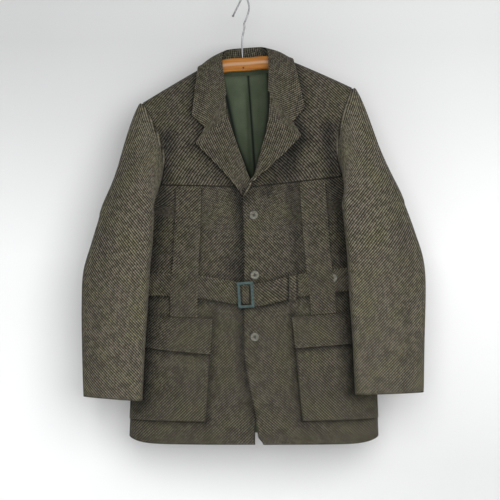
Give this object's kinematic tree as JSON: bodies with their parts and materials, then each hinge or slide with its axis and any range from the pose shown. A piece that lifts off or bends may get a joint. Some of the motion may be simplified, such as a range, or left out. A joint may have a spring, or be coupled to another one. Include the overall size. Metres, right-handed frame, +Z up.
{
  "type": "tweed jacket on a hanger",
  "caption": "Belted single-breasted tweed jacket with notched lapels, front yokes, straps and flapped bellows pockets, hung by a wire hook on a bent-wood hanger.",
  "frame": {"origin": "inside top of the hanger's hook, where it hangs on a rail or nail", "axes": "+Z up, -Y out of the jacket's front, +X towards the wearer's left"},
  "size_m": [0.715, 0.1759, 0.9477],
  "materials": {
    "tweed": "herringbone wool tweed, matte",
    "lining": "twill lining with a soft sheen",
    "wood": "varnished",
    "wire": "dull steel wire",
    "horn": "horn-like, semi-gloss",
    "buckle_enamel": "satin"
  },
  "bodies": {
    "root": {"back": "tweed", "front_right": "tweed", "front_left": "tweed", "yoke_right": "tweed", "yoke_left": "tweed", "top_sleeve_right": "tweed", "top_sleeve_left": "tweed", "under_sleeve_right": "tweed", "under_sleeve_left": "tweed", "lapel_right": "tweed", "lapel_left": "tweed", "strap_right": "tweed", "strap_left": "tweed", "pocket_right": "tweed", "pocket_left": "tweed", "pocket_flap_right": "tweed", "pocket_flap_left": "tweed", "collar_fall": "tweed", "collar_stand": "tweed", "belt_left": "tweed", "belt_right": "tweed", "belt_keeper": "tweed", "buckle": "buckle_enamel", "button_1": "horn", "button_2": "horn", "button_3": "horn", "belt_button": "horn", "lining_back_left": "lining", "lining_back_right": "lining", "hanger_bar": "wood", "hanger_hook": "wire"}
  },
  "joints": []
}
